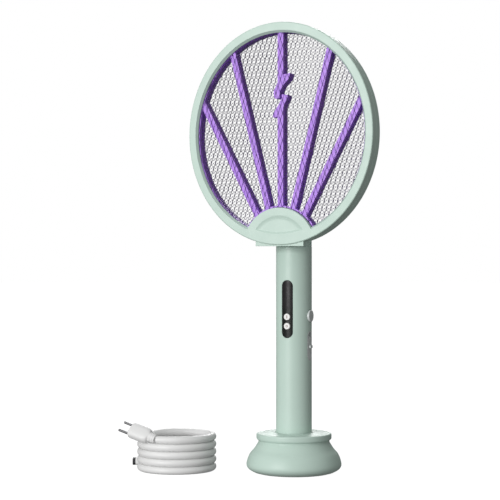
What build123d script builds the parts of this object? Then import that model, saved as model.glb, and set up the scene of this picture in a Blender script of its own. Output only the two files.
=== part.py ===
"""Electric fly swatter standing in its charging dock, with its charging lead. Millimetres.

Origin: centre of the dock's foot on the floor. +Z is up, the swatter's front faces -Y,
and the side buttons are on +X. The handle tube stands on the Z axis.
"""

import os
from math import cos, radians, sin, sqrt

from build123d import *

# ---- handle
TUBE_R = 17.5
TUBE_WALL = 2.0
TUBE_IN_R = TUBE_R - TUBE_WALL
HANDLE_BOTTOM = 11.5
TUBE_BOTTOM = 14.0
TUBE_TOP = 221.0

# ---- front panel of the handle
PANEL_W = 11.5
PANEL_LOW = 132.0
PANEL_HIGH = 188.2
PANEL_Z = (PANEL_LOW + PANEL_HIGH) / 2
PANEL_BUTTON_R = 3.2
PANEL_HOLE_R = 3.5
PANEL_BUTTON_Z = (152.6, 143.6)
BOARD_FRONT_Y = -13.0

# ---- side controls
POWER_Z = 153.2
POWER_R = 6.0
SLOT_Z = 124.0
SLOT_W = 10.8
SLOT_H = 29.2
SLIDER_W = 6.0
SLIDER_H = 22.4
SLIDER_LOW = 110.6

# ---- head: an upright oval ring in front of the handle
HEAD_Z = 329.3
HEAD_RX = 96.0
HEAD_RZ = 107.0
HEAD_T = 20.0
HEAD_BACK = -17.8
HEAD_FRONT = HEAD_BACK - HEAD_T
HEAD_MID = (HEAD_FRONT + HEAD_BACK) / 2
RING_FACE = 8.0
RING_BEVEL = 1.2
BEVEL_DEEP = 2.0
RING_INNER = RING_FACE + RING_BEVEL
SCREW_INSET = 4.0
SCREW_COUNT = 8
SCREW_START = 22.5
CHANNEL_OUT = 2.0
CHANNEL_IN = 6.2
SHELL = 2.0
LIP_T = 3.4
FRAME_IN = 8.0
HUB_Z = 220.9
HUB_R = 37.6
PLATE_W = 50.0
PLATE_LOW = 221.2
PLATE_HIGH = 226.2

# ---- purple rib frames and the three meshes
RIB_FAN_Z = 205.0
RIB_STEP = 14.0
RIB_W = 6.0
WALL_OUT = 8.2
WALL_IN = 9.8
MESH_T = 0.6
MESH_PITCH_X = 9.3
MESH_PITCH_Z = 12.9
MESH_WIRE = 1.1
MESH_FRONT_Y = HEAD_FRONT + LIP_T + 0.1
DIAMOND_X = MESH_PITCH_X / 2 - MESH_WIRE
DIAMOND_Z = MESH_PITCH_Z / 2 - MESH_WIRE * 1.6
LAYER = 6.0

# Outlines of the zig-zag that breaks the middle rib, as X and Z.
UPPER_BOLT = [
    (-3.0, 388), (-3.0, 378.5), (-7.2, 370.5), (-6.8, 364.5), (-5.2, 363.0),
    (-0.8, 363.4), (-0.6, 370.0), (2.6, 375.5), (8.4, 381.5), (10.2, 387.2), (3.0, 386.2), (3.0, 388),
]
LOWER_BOLT = [
    (1.4, 367.2), (7.4, 366.4), (7.6, 363.6), (4.6, 358.6), (3.0, 354.5), (3.0, 343.0),
    (-3.0, 343.0), (-3.2, 345.2), (-7.4, 344.9), (-8.0, 348.6), (-1.4, 358.2), (1.0, 363.0),
]

# ---- fold hinge between handle and head
HINGE_Z = 227.0
CHEEK_R = 13.5
BARREL_R = 8.0
LUG_HALF = 7.0
CHEEK_IN = 7.5
PIN_R = 2.5

# ---- dock
DOCK_FOOT_R = 39.6
DOCK_BELLY_R = 46.5
DOCK_BELLY_Z = 8.8
DOCK_NECK_R = 34.6
DOCK_NECK_Z = 30.8
DOCK_LIP_R = 36.8
DOCK_LIP_Z = 38.5
DOME_Z = 39.9
WELL_R = 18.0
LINER_R = 20.2
DOCK_WALL = 2.4
BOSS_AT = 28.0
CONTACT_AT = 6.5

# ---- charging lead
LEAD_D = 7.4
COIL_R = 35.5
FOUR_TURNS = 4 * LEAD_D
COIL_X = -111.3
COIL_Y = -34.4
COIL_TURN = 24.6
PLUG_ANGLE = 240.0
PLUG_TILT = 15.0
PLUG_ROLL = -45.0
PLUG_BODY = 9.0
PLUG_END = 31.0
PIN_SPACING = 10.0
TAIL_START = -10.0
TAIL_END = -26.0
CONNECTOR_W = 13.0
CONNECTOR_H = 7.8

os.makedirs("parts", exist_ok=True)
made = []


def keep(part, name):
    """Label a finished piece and write it to its own file."""
    part.part.label = name
    export_step(part.part, f"parts/{name}.step")
    made.append(name)


def at_y(y):
    """Upright plane facing the front at a given Y; its local axes are X and Z."""
    return Plane.XZ.offset(-y)


def oval(y, inset, hole=None):
    """Head oval at a given Y, pulled in by inset, with a smaller oval hole if one is named."""
    with BuildSketch(at_y(y)) as face:
        with Locations((0, HEAD_Z)):
            Ellipse(HEAD_RX - inset, HEAD_RZ - inset)
            if hole is not None:
                Ellipse(HEAD_RX - hole, HEAD_RZ - hole, mode=Mode.SUBTRACT)
    return face.sketch


def hub_disc(y, radius, inset, hole=None):
    """The part of a disc about the hub centre that lies inside the oval."""
    with BuildSketch(at_y(y)) as face:
        with Locations((0, HUB_Z)):
            Circle(radius)
            if hole is not None:
                Circle(hole, mode=Mode.SUBTRACT)
        with Locations((0, HEAD_Z)):
            Ellipse(HEAD_RX - inset, HEAD_RZ - inset, mode=Mode.INTERSECT)
    return face.sketch


def oval_points(inset, count, start=0.0):
    """Points spread around the head oval, as local X and Z."""
    points = []
    for index in range(count):
        angle = radians(start + 360.0 * index / count)
        points.append(((HEAD_RX - inset) * cos(angle), HEAD_Z + (HEAD_RZ - inset) * sin(angle)))
    return points


def tube_layer(inner, outer):
    """Sleeve between two radii over the handle's length, for trimming panels to the tube's curve."""
    with BuildPart() as layer:
        with BuildSketch(Plane.XY.offset(TUBE_BOTTOM)):
            Circle(outer)
            Circle(inner, mode=Mode.SUBTRACT)
        extrude(amount=TUBE_TOP - TUBE_BOTTOM)
    return layer.part


# ================================================================ dock
with BuildPart() as dock_shell:
    with BuildSketch(Plane.XZ):
        with BuildLine():
            bell = Spline(
                (DOCK_FOOT_R, 0.8),
                (DOCK_BELLY_R - 1.6, 4.0),
                (DOCK_BELLY_R, DOCK_BELLY_Z),
                (43.6, 17.6),
                (38.7, 23.6),
                (DOCK_NECK_R, DOCK_NECK_Z),
            )
            Line(bell @ 1, (DOCK_NECK_R, 32.6))
            Line((DOCK_NECK_R, 32.6), (DOCK_LIP_R - 1.2, 33.2))
            ThreePointArc((DOCK_LIP_R - 1.2, 33.2), (DOCK_LIP_R, 35.8), (DOCK_LIP_R - 1.0, DOCK_LIP_Z))
            Line((DOCK_LIP_R - 1.0, DOCK_LIP_Z), (DOCK_LIP_R - 2.4, DOCK_LIP_Z - 0.8))
            Line((DOCK_LIP_R - 2.4, DOCK_LIP_Z - 0.8), (WELL_R + 0.3, DOME_Z))
            Line((WELL_R + 0.3, DOME_Z), (WELL_R + 0.3, 0.8))
            Line((WELL_R + 0.3, 0.8), bell @ 0)
        make_face()
    revolve(axis=Axis.Z)
    with BuildSketch(Plane.XZ):
        with BuildLine():
            hollow = Spline(
                (37.6, 3.4),
                (DOCK_BELLY_R - DOCK_WALL, DOCK_BELLY_Z + 1.0),
                (41.0, 17.4),
                (36.2, 23.4),
                (DOCK_NECK_R - DOCK_WALL, DOCK_NECK_Z),
            )
            Line(hollow @ 1, (DOCK_NECK_R - DOCK_WALL, 36.2))
            Line((DOCK_NECK_R - DOCK_WALL, 36.2), (0, 36.2))
            Line((0, 36.2), (0, 0))
            Line((0, 0), (37.6, 0))
            Line((37.6, 0), hollow @ 0)
        make_face()
    revolve(axis=Axis.Z, mode=Mode.SUBTRACT)
    with BuildSketch(Plane.XY.offset(3.3)):
        with PolarLocations(BOSS_AT, 3, start_angle=30):
            Circle(3.2)
    extrude(amount=33.5)
    with BuildSketch(Plane.XY.offset(3.3)):
        with PolarLocations(BOSS_AT, 3, start_angle=30):
            Circle(1.45)
    extrude(amount=14, mode=Mode.SUBTRACT)
    with BuildSketch(Plane.XZ.offset(-30)):
        with Locations((0, 14.5)):
            Rectangle(17.2, 11.2)
    extrude(amount=-30, mode=Mode.SUBTRACT)
keep(dock_shell, "dock_shell")

with BuildPart() as dock_socket:
    with BuildSketch(Plane.XY.offset(9.3)):
        Circle(LINER_R)
    extrude(amount=36.2 - 9.3)
    with BuildSketch(Plane.XY.offset(HANDLE_BOTTOM)):
        Circle(WELL_R)
    extrude(amount=40, mode=Mode.SUBTRACT)
    with BuildSketch(Plane.XY.offset(9)):
        with Locations((0, 0), (CONTACT_AT, 0)):
            Circle(1.5)
    extrude(amount=5, mode=Mode.SUBTRACT)
    with BuildSketch(Plane.XY.offset(7.0)):
        with PolarLocations(17.0, 3, start_angle=90):
            Circle(1.6)
    extrude(amount=2.4)
keep(dock_socket, "dock_socket")

with BuildPart() as dock_bottom_cover:
    with BuildSketch(Plane.XY.offset(1.2)):
        Circle(37.4)
    extrude(amount=2.0)
    with BuildSketch(Plane.XY.offset(1.2)):
        with PolarLocations(BOSS_AT, 3, start_angle=30):
            Circle(1.6)
    extrude(amount=2.0, mode=Mode.SUBTRACT)
    with BuildSketch(Plane.XY.offset(1.2)):
        with PolarLocations(BOSS_AT, 3, start_angle=30):
            Circle(2.9)
    extrude(amount=1.0, mode=Mode.SUBTRACT)
    with BuildSketch(Plane.XY.offset(3.2)):
        with PolarLocations(13.0, 3, start_angle=30):
            Circle(2.0)
    extrude(amount=2.2)
keep(dock_bottom_cover, "dock_bottom_cover")

with BuildPart() as dock_foot_ring:
    with BuildSketch(Plane.XY):
        Circle(36.6)
        Circle(32.2, mode=Mode.SUBTRACT)
    extrude(amount=1.2)
keep(dock_foot_ring, "dock_foot_ring")

with BuildPart() as dock_screws:
    with BuildSketch(Plane.XY.offset(1.2)):
        with PolarLocations(BOSS_AT, 3, start_angle=30):
            Circle(2.7)
    extrude(amount=0.95)
    with BuildSketch(Plane.XY.offset(2.1)):
        with PolarLocations(BOSS_AT, 3, start_angle=30):
            Circle(1.35)
    extrude(amount=11)
    with BuildSketch(Plane.XY.offset(1.2)):
        with PolarLocations(BOSS_AT, 3, start_angle=30):
            Rectangle(3.0, 0.7)
            Rectangle(0.7, 3.0)
    extrude(amount=0.5, mode=Mode.SUBTRACT)
keep(dock_screws, "dock_screws")

with BuildPart() as dock_ballast:
    with BuildSketch(Plane.XY.offset(3.4)):
        Circle(36.6)
        Circle(22.0, mode=Mode.SUBTRACT)
        with PolarLocations(BOSS_AT, 3, start_angle=30):
            Circle(3.6, mode=Mode.SUBTRACT)
    extrude(amount=5.0)
keep(dock_ballast, "dock_ballast")

with BuildPart() as dock_board:
    with BuildSketch(Plane.XY.offset(5.4)):
        Circle(20.0)
        with Locations((0, 0), (CONTACT_AT, 0)):
            Circle(1.5, mode=Mode.SUBTRACT)
    extrude(amount=1.6)
keep(dock_board, "dock_board")

with BuildPart() as charger_module:
    with BuildSketch(Plane.XY.offset(8.8)):
        with Locations((-29.0, 0)):
            RectangleRounded(12, 20, 1.5)
    extrude(amount=11)
keep(charger_module, "charger_module")

with BuildPart() as dock_contact_pins:
    with BuildSketch(Plane.XY.offset(7.2)):
        with Locations((0, 0), (CONTACT_AT, 0)):
            Circle(1.2)
    extrude(amount=HANDLE_BOTTOM - 7.2 - 0.05)
    with BuildSketch(Plane.XY.offset(8.2)):
        with Locations((0, 0), (CONTACT_AT, 0)):
            Circle(1.9)
    extrude(amount=0.7)
keep(dock_contact_pins, "dock_contact_pins")

with BuildPart() as dock_inlet:
    with BuildSketch(Plane.XZ.offset(-31)):
        with Locations((0, 14.5)):
            RectangleRounded(17.0, 11.0, 1.5)
    extrude(amount=-13.6)
    with BuildSketch(Plane.XZ.offset(-33)):
        with Locations((0, 14.5)):
            SlotOverall(14.0, 8.6)
    extrude(amount=-13, mode=Mode.SUBTRACT)
    with BuildSketch(Plane.XZ.offset(-31)):
        with Locations((-4.3, 14.5), (4.3, 14.5)):
            Circle(1.2)
    extrude(amount=-3, mode=Mode.SUBTRACT)
keep(dock_inlet, "dock_inlet")

with BuildPart() as inlet_pins:
    with BuildSketch(Plane.XZ.offset(-29.5)):
        with Locations((-4.3, 14.5), (4.3, 14.5)):
            Circle(1.2)
    extrude(amount=-12)
keep(inlet_pins, "inlet_pins")

# ================================================================ handle
with BuildPart() as handle_tube:
    with BuildSketch(Plane.XY.offset(TUBE_BOTTOM)):
        Circle(TUBE_R)
        Circle(TUBE_IN_R, mode=Mode.SUBTRACT)
    extrude(amount=TUBE_TOP - TUBE_BOTTOM)
    with BuildSketch(at_y(-12)):
        with Locations((0, PANEL_Z)):
            SlotOverall(PANEL_HIGH - PANEL_LOW, PANEL_W, rotation=90)
    extrude(amount=10, mode=Mode.SUBTRACT)
    with BuildSketch(Plane.YZ.offset(12)):
        with Locations((0, POWER_Z)):
            Circle(POWER_R + 0.3)
        with Locations((0, SLOT_Z)):
            SlotOverall(SLOT_H, SLOT_W, rotation=90)
    extrude(amount=10, mode=Mode.SUBTRACT)
keep(handle_tube, "handle_tube")

with BuildPart() as handle_end_cap:
    with BuildSketch(Plane.XY.offset(HANDLE_BOTTOM)):
        Circle(TUBE_R)
    extrude(amount=TUBE_BOTTOM - HANDLE_BOTTOM)
    chamfer(edges().group_by(Axis.Z)[0], 0.8)
    with BuildSketch(Plane.XY.offset(TUBE_BOTTOM)):
        Circle(TUBE_IN_R - 0.05)
    extrude(amount=8)
    with BuildSketch(Plane.XY.offset(TUBE_BOTTOM + 1.5)):
        Circle(TUBE_IN_R - 1.8)
    extrude(amount=8, mode=Mode.SUBTRACT)
    with BuildSketch(Plane.XY.offset(HANDLE_BOTTOM)):
        Circle(CONTACT_AT + 1.6)
        Circle(CONTACT_AT - 1.6, mode=Mode.SUBTRACT)
        Circle(2.6)
    extrude(amount=1.0, mode=Mode.SUBTRACT)
keep(handle_end_cap, "handle_end_cap")

with BuildPart() as charge_contacts:
    with BuildSketch(Plane.XY.offset(HANDLE_BOTTOM)):
        Circle(CONTACT_AT + 1.6)
        Circle(CONTACT_AT - 1.6, mode=Mode.SUBTRACT)
        Circle(2.6)
    extrude(amount=1.0)
keep(charge_contacts, "charge_contacts")

with BuildPart() as battery_cradle:
    with BuildSketch(Plane.XY.offset(25.5)):
        Circle(12.4)
        Circle(9.6, mode=Mode.SUBTRACT)
        with Locations((0, -9.5)):
            Rectangle(30, 19, mode=Mode.SUBTRACT)
    extrude(amount=70)
    with BuildSketch(Plane.XY.offset(25.5)):
        with Locations((0, 7.5)):
            Rectangle(19.0, 9.0)
    extrude(amount=1.6)
    with BuildSketch(Plane.XY.offset(93.9)):
        with Locations((0, 7.5)):
            Rectangle(19.0, 9.0)
    extrude(amount=1.6)
keep(battery_cradle, "battery_cradle")

with BuildPart() as battery_cell:
    with BuildSketch(Plane.XY.offset(28.3)):
        Circle(9.2)
    extrude(amount=63.6)
    fillet(edges().group_by(Axis.Z)[-1], 0.8)
    with BuildSketch(Plane.XY.offset(91.9)):
        Circle(2.8)
    extrude(amount=1.2)
keep(battery_cell, "battery_cell")

with BuildPart() as battery_contacts:
    with BuildSketch(Plane.XY.offset(27.2)):
        with Locations((0, 6.0)):
            Rectangle(8.0, 5.6)
    extrude(amount=0.4)
    with BuildSketch(Plane.XY.offset(93.3)):
        with Locations((0, 5.0)):
            Rectangle(8.0, 7.4)
    extrude(amount=0.5)
keep(battery_contacts, "battery_contacts")

with BuildPart() as main_board:
    with BuildSketch(Plane.YZ.offset(10.2)):
        with Locations((0, 151)):
            Rectangle(18.4, 100)
    extrude(amount=1.6)
keep(main_board, "main_board")

with BuildPart() as power_switch:
    with BuildSketch(Plane.YZ.offset(11.8)):
        with Locations((0, POWER_Z)):
            Rectangle(6.2, 6.2)
    extrude(amount=1.4)
    with BuildSketch(Plane.YZ.offset(13.2)):
        with Locations((0, POWER_Z)):
            Circle(1.6)
    extrude(amount=0.5)
keep(power_switch, "power_switch")

with BuildPart() as slide_switch:
    with BuildSketch(Plane.YZ.offset(11.8)):
        with Locations((0, SLOT_Z)):
            Rectangle(6.4, 12.0)
    extrude(amount=0.9)
keep(slide_switch, "slide_switch")

with BuildPart() as hv_transformer:
    with BuildSketch(Plane.XY.offset(176)):
        with Locations((0, 3)):
            Rectangle(14, 13)
    extrude(amount=17)
    with BuildSketch(Plane.XY.offset(180)):
        with Locations((0, 3)):
            Rectangle(17, 15.6)
    extrude(amount=9)
keep(hv_transformer, "hv_transformer")

with BuildPart() as hv_capacitor:
    with BuildSketch(Plane.XY.offset(146)):
        with Locations((1, 4)):
            RectangleRounded(13, 9, 1.6)
    extrude(amount=19)
keep(hv_capacitor, "hv_capacitor")

with BuildPart() as display_board:
    with BuildSketch(at_y(BOARD_FRONT_Y + 1.4)):
        with Locations((0, PANEL_Z)):
            Rectangle(14.6, 62)
    extrude(amount=1.4)
keep(display_board, "display_board")

with BuildPart() as display_module:
    with BuildSketch(at_y(BOARD_FRONT_Y)):
        with Locations((0, 172)):
            Rectangle(8.4, 22)
    extrude(amount=1.6)
keep(display_module, "display_module")

with BuildPart() as panel_switches:
    with BuildSketch(at_y(BOARD_FRONT_Y)):
        with Locations(*[(0, z) for z in PANEL_BUTTON_Z]):
            Rectangle(4.2, 4.2)
    extrude(amount=1.0)
keep(panel_switches, "panel_switches")

with BuildPart() as display_window:
    with BuildSketch(at_y(-12)):
        with Locations((0, PANEL_Z)):
            SlotOverall(PANEL_HIGH - PANEL_LOW - 0.1, PANEL_W - 0.1, rotation=90)
        with Locations(*[(0, z) for z in PANEL_BUTTON_Z]):
            Circle(PANEL_HOLE_R, mode=Mode.SUBTRACT)
    extrude(amount=10)
    add(tube_layer(TUBE_IN_R, TUBE_R - 0.05), mode=Mode.INTERSECT)
keep(display_window, "display_window")


def panel_button(z):
    """Round push button with a domed face and a narrow stem behind it."""
    with BuildPart() as button:
        with BuildSketch(at_y(-15.7)):
            with Locations((0, z)):
                Circle(PANEL_BUTTON_R)
        extrude(amount=2.3)
        fillet(edges().group_by(Axis.Y)[0], 0.5)
        with BuildSketch(at_y(-14.7)):
            with Locations((0, z)):
                Circle(1.5)
        extrude(amount=1.2)
    return button


for button_name, button_z in zip(("panel_button_upper", "panel_button_lower"), PANEL_BUTTON_Z):
    keep(panel_button(button_z), button_name)

with BuildPart() as power_button:
    with BuildSketch(Plane.YZ.offset(15.4)):
        with Locations((0, POWER_Z)):
            Circle(POWER_R)
    extrude(amount=3.2)
    fillet(edges().group_by(Axis.X)[-1], 0.7)
    with BuildSketch(Plane.YZ.offset(15.0)):
        with Locations((0, POWER_Z)):
            Circle(2.0)
    extrude(amount=0.6)
keep(power_button, "power_button")

with BuildPart() as slider_tray:
    with BuildSketch(Plane.YZ.offset(13.0)):
        with Locations((0, SLOT_Z)):
            SlotOverall(SLOT_H - 0.1, SLOT_W - 0.1, rotation=90)
    extrude(amount=6)
    with BuildSketch(Plane.YZ.offset(13.9)):
        with Locations((0, SLOT_Z)):
            SlotOverall(SLOT_H - 1.8, SLOT_W - 1.8, rotation=90)
    extrude(amount=6, mode=Mode.SUBTRACT)
    with BuildSketch(Plane.YZ.offset(12.9)):
        with Locations((0, SLOT_Z)):
            Rectangle(3.0, 10.0)
    extrude(amount=2, mode=Mode.SUBTRACT)
    add(tube_layer(5.0, TUBE_R), mode=Mode.INTERSECT)
keep(slider_tray, "slider_tray")

with BuildPart() as mode_slider:
    with BuildSketch(Plane.YZ.offset(14.2)):
        with Locations((0, SLIDER_LOW + SLIDER_H / 2)):
            RectangleRounded(SLIDER_W, SLIDER_H, 2.6)
    extrude(amount=2.9)
    fillet(edges().group_by(Axis.X)[-1], 0.5)
    with BuildSketch(Plane.YZ.offset(16.5)):
        with Locations((0, SLIDER_LOW + 12.6)):
            RectangleRounded(SLIDER_W - 0.8, 2.8, 1.0)
    extrude(amount=2.3)
    with BuildSketch(Plane.YZ.offset(13.0)):
        with Locations((0, SLOT_Z - 2.7)):
            Rectangle(2.2, 3.0)
    extrude(amount=1.4)
keep(mode_slider, "mode_slider")

with BuildPart() as hinge_yoke:
    with BuildSketch(Plane.XY.offset(205)):
        Circle(TUBE_IN_R - 0.05)
        Circle(TUBE_IN_R - 2.2, mode=Mode.SUBTRACT)
    extrude(amount=9)
    with BuildSketch(Plane.XY.offset(214)):
        Circle(TUBE_IN_R - 0.05)
    extrude(amount=TUBE_TOP - 214)
    with BuildSketch(Plane.YZ.offset(-TUBE_R)):
        with Locations((0, HINGE_Z)):
            Circle(CHEEK_R)
        with Locations((0, (HINGE_Z + TUBE_TOP) / 2)):
            Rectangle(2 * CHEEK_R, HINGE_Z - TUBE_TOP)
        with Locations((0, TUBE_TOP - 20)):
            Rectangle(4 * CHEEK_R, 40, mode=Mode.SUBTRACT)
    extrude(amount=2 * TUBE_R)
    with BuildSketch(Plane.XY.offset(TUBE_TOP)):
        Circle(TUBE_R - 0.1)
    extrude(amount=1.0)
    with BuildSketch(Plane.XY.offset(200)):
        Circle(TUBE_R - 0.1)
    extrude(amount=60, mode=Mode.INTERSECT)
    with BuildSketch(Plane.YZ.offset(-CHEEK_IN)):
        with Locations((-10.5, 238.3)):
            Rectangle(41, 40)
    extrude(amount=2 * CHEEK_IN, mode=Mode.SUBTRACT)
    with BuildSketch(Plane.YZ.offset(-CHEEK_IN)):
        with Locations((14.0, 245)):
            Rectangle(10, 24)
    extrude(amount=2 * CHEEK_IN, mode=Mode.SUBTRACT)
    with BuildSketch(Plane.YZ.offset(-TUBE_R)):
        with Locations((0, HINGE_Z)):
            Circle(PIN_R + 0.02)
    extrude(amount=2 * TUBE_R, mode=Mode.SUBTRACT)
    with BuildSketch(Plane.YZ.offset(-TUBE_R)):
        with Locations((0, HINGE_Z)):
            Circle(4.6)
    extrude(amount=TUBE_R - 14.0, mode=Mode.SUBTRACT)
    with BuildSketch(Plane.YZ.offset(14.0)):
        with Locations((0, HINGE_Z)):
            Circle(4.6)
    extrude(amount=TUBE_R - 14.0, mode=Mode.SUBTRACT)
keep(hinge_yoke, "hinge_yoke")

with BuildPart() as hinge_pin:
    with BuildSketch(Plane.YZ.offset(-13.9)):
        with Locations((0, HINGE_Z)):
            Circle(PIN_R)
    extrude(amount=27.8)
    chamfer(edges().group_by(Axis.X)[0], 0.3)
    chamfer(edges().group_by(Axis.X)[-1], 0.3)
keep(hinge_pin, "hinge_pin")

with BuildPart() as hinge_washers:
    for side_x in (-CHEEK_IN, CHEEK_IN - 0.4):
        with BuildSketch(Plane.YZ.offset(side_x)):
            with Locations((0, HINGE_Z)):
                Circle(5.5)
                Circle(PIN_R + 0.04, mode=Mode.SUBTRACT)
        extrude(amount=0.4)
keep(hinge_washers, "hinge_washers")

with BuildPart() as pin_caps:
    for side_x in (-16.2, 14.1):
        with BuildSketch(Plane.YZ.offset(side_x)):
            with Locations((0, HINGE_Z)):
                Circle(4.55)
        extrude(amount=2.1)
keep(pin_caps, "pin_caps")

# ================================================================ head
def ring_shell(face_y, deep, step):
    """One half of the ring: flat face, bevel, outer and inner walls with a channel between, and hub.

    face_y is the outside face, step is +1 when the shell runs towards +Y and -1 towards -Y,
    and deep is its depth.
    """
    mid_y = face_y + step * deep
    with BuildPart() as ring:
        extrude(oval(face_y, 0, FRAME_IN), amount=-step * deep)
        extrude(oval(face_y, FRAME_IN - 0.6, RING_INNER), amount=-step * LIP_T)
        extrude(hub_disc(face_y, HUB_R, FRAME_IN - 0.6), amount=-step * SHELL)
        loft([oval(face_y, RING_FACE), oval(face_y + step * BEVEL_DEEP, RING_INNER)], mode=Mode.SUBTRACT)
        extrude(hub_disc(face_y, HUB_R, FRAME_IN - 3), amount=-step * SHELL)
        channel_y = face_y + step * SHELL
        extrude(oval(channel_y, CHANNEL_OUT, CHANNEL_IN), amount=-step * deep, mode=Mode.SUBTRACT)
        with BuildSketch(at_y(channel_y)):
            with Locations(*oval_points(SCREW_INSET, SCREW_COUNT, SCREW_START)):
                Circle(2.4)
        extrude(amount=-step * (deep - SHELL))
        extrude(oval(mid_y, 0), amount=step * deep, mode=Mode.INTERSECT)
    return ring


with BuildPart() as head_front_frame:
    add(ring_shell(HEAD_FRONT, HEAD_T / 2, 1).part)
    with BuildSketch(at_y(HEAD_FRONT + SHELL)):
        with Locations(*oval_points(SCREW_INSET, SCREW_COUNT, SCREW_START)):
            Circle(1.25)
    extrude(amount=-HEAD_T / 2, mode=Mode.SUBTRACT)
    with BuildSketch(at_y(HEAD_FRONT + 7.0)):
        with Locations((0, (PLATE_LOW + PLATE_HIGH) / 2)):
            Rectangle(PLATE_W, PLATE_HIGH - PLATE_LOW)
        with Locations((0, HEAD_Z)):
            Ellipse(HEAD_RX - 1.0, HEAD_RZ - 1.0, mode=Mode.SUBTRACT)
    extrude(amount=5.2)
keep(head_front_frame, "head_front_frame")

with BuildPart() as head_rear_frame:
    add(ring_shell(HEAD_BACK, HEAD_T / 2, -1).part)
    with BuildSketch(at_y(HEAD_BACK)):
        with Locations(*oval_points(SCREW_INSET, SCREW_COUNT, SCREW_START)):
            Circle(1.4)
    extrude(amount=HEAD_T / 2, mode=Mode.SUBTRACT)
    with BuildSketch(at_y(HEAD_BACK)):
        with Locations(*oval_points(SCREW_INSET, SCREW_COUNT, SCREW_START)):
            Circle(2.3)
    extrude(amount=1.6, mode=Mode.SUBTRACT)
    with BuildSketch(at_y(HEAD_BACK)):
        with Locations((0, 231.5)):
            Rectangle(2 * LUG_HALF + 0.2, 11.2)
    extrude(amount=4.0, mode=Mode.SUBTRACT)
    with BuildSketch(at_y(HEAD_BACK - SHELL)):
        with Locations((0, 231.5)):
            Rectangle(24.4, 15.4)
        with Locations((0, HEAD_Z)):
            Ellipse(HEAD_RX - 2.0, HEAD_RZ - 2.0, mode=Mode.INTERSECT)
    extrude(amount=3.4, mode=Mode.SUBTRACT)
keep(head_rear_frame, "head_rear_frame")

with BuildPart() as head_screws:
    with BuildSketch(at_y(HEAD_BACK - 0.1)):
        with Locations(*oval_points(SCREW_INSET, SCREW_COUNT, SCREW_START)):
            Circle(2.2)
    extrude(amount=1.4)
    with BuildSketch(at_y(HEAD_BACK - 1.4)):
        with Locations(*oval_points(SCREW_INSET, SCREW_COUNT, SCREW_START)):
            Circle(1.2)
    extrude(amount=14)
    with BuildSketch(at_y(HEAD_BACK - 0.1)):
        with Locations(*oval_points(SCREW_INSET, SCREW_COUNT, SCREW_START)):
            Rectangle(2.6, 0.6)
            Rectangle(0.6, 2.6)
    extrude(amount=0.6, mode=Mode.SUBTRACT)
keep(head_screws, "head_screws")

with BuildPart() as hinge_lug:
    with BuildSketch(Plane.YZ.offset(-LUG_HALF)):
        with Locations((0, HINGE_Z)):
            Circle(BARREL_R)
        with BuildLine():
            Polyline(
                (HEAD_BACK - SHELL - 0.2, 226.1),
                (HEAD_BACK, 226.1),
                (-6.5, HINGE_Z - 4.6),
                (0, HINGE_Z - 4.6),
                (0, HINGE_Z + BARREL_R - 0.1),
                (HEAD_BACK + 1.5, 236.5),
                (HEAD_BACK - SHELL - 0.2, 236.5),
                close=True,
            )
        make_face()
    extrude(amount=2 * LUG_HALF)
    with BuildSketch(at_y(HEAD_BACK - SHELL)):
        with Locations((0, 232.2)):
            Rectangle(23.0, 12.4)
    extrude(amount=1.6)
    with BuildSketch(Plane.YZ.offset(-10)):
        with Locations((0, HINGE_Z)):
            Circle(PIN_R + 0.05)
    extrude(amount=20, mode=Mode.SUBTRACT)
keep(hinge_lug, "hinge_lug")


def rib_frame(front_y, deep, rib_recess):
    """Purple spacer frame: oval wall, hub arc wall, five ribs, the middle one broken by a zig-zag."""
    with BuildPart() as frame:
        extrude(oval(front_y, WALL_OUT, WALL_IN), amount=-deep)
        extrude(hub_disc(front_y, HUB_R + 1.8, WALL_OUT + 0.4, HUB_R + 0.2), amount=-deep)
        with BuildSketch(at_y(front_y + rib_recess)):
            for step in (-2, -1, 1, 2):
                angle = radians(RIB_STEP * step)
                with Locations((130 * sin(angle), RIB_FAN_Z + 130 * cos(angle))):
                    Rectangle(RIB_W, 260, rotation=-RIB_STEP * step)
            with Locations((0, 408)):
                Rectangle(RIB_W, 42)
            with Locations((0, 294)):
                Rectangle(RIB_W, 100)
            with BuildLine():
                Polyline(*UPPER_BOLT, close=True)
            make_face()
            with BuildLine():
                Polyline(*LOWER_BOLT, close=True)
            make_face()
            with Locations((0, HEAD_Z)):
                Ellipse(HEAD_RX - WALL_OUT - 0.5, HEAD_RZ - WALL_OUT - 0.5, mode=Mode.INTERSECT)
            with Locations((0, HUB_Z)):
                Circle(HUB_R + 0.9, mode=Mode.SUBTRACT)
        extrude(amount=-(deep - rib_recess))
    return frame


keep(rib_frame(MESH_FRONT_Y + MESH_T + 0.1, LAYER - 1.0, 0.2), "rib_frame_front")
keep(rib_frame(HEAD_MID + 0.5, LAYER - 1.0, 0.2), "rib_frame_rear")


def diamond_centres():
    """Centres of the mesh openings: two interleaved grids, kept inside the rim and clear of the hub."""
    centres = []
    for shift in (0.0, 0.5):
        for column in range(-10, 11):
            for row in range(-7, 8):
                x = (column + shift) * MESH_PITCH_X
                z = HEAD_Z + (row + shift) * MESH_PITCH_Z
                reach_x = (abs(x) + DIAMOND_X) / (HEAD_RX - WALL_IN)
                reach_z = (abs(z - HEAD_Z) + DIAMOND_Z * 0.7) / (HEAD_RZ - WALL_IN)
                clear_of_hub = sqrt(x * x + (z - HUB_Z) ** 2) > HUB_R + DIAMOND_Z
                if reach_x ** 2 + reach_z ** 2 < 1.0 and clear_of_hub:
                    centres.append((x, z))
    return centres


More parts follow.
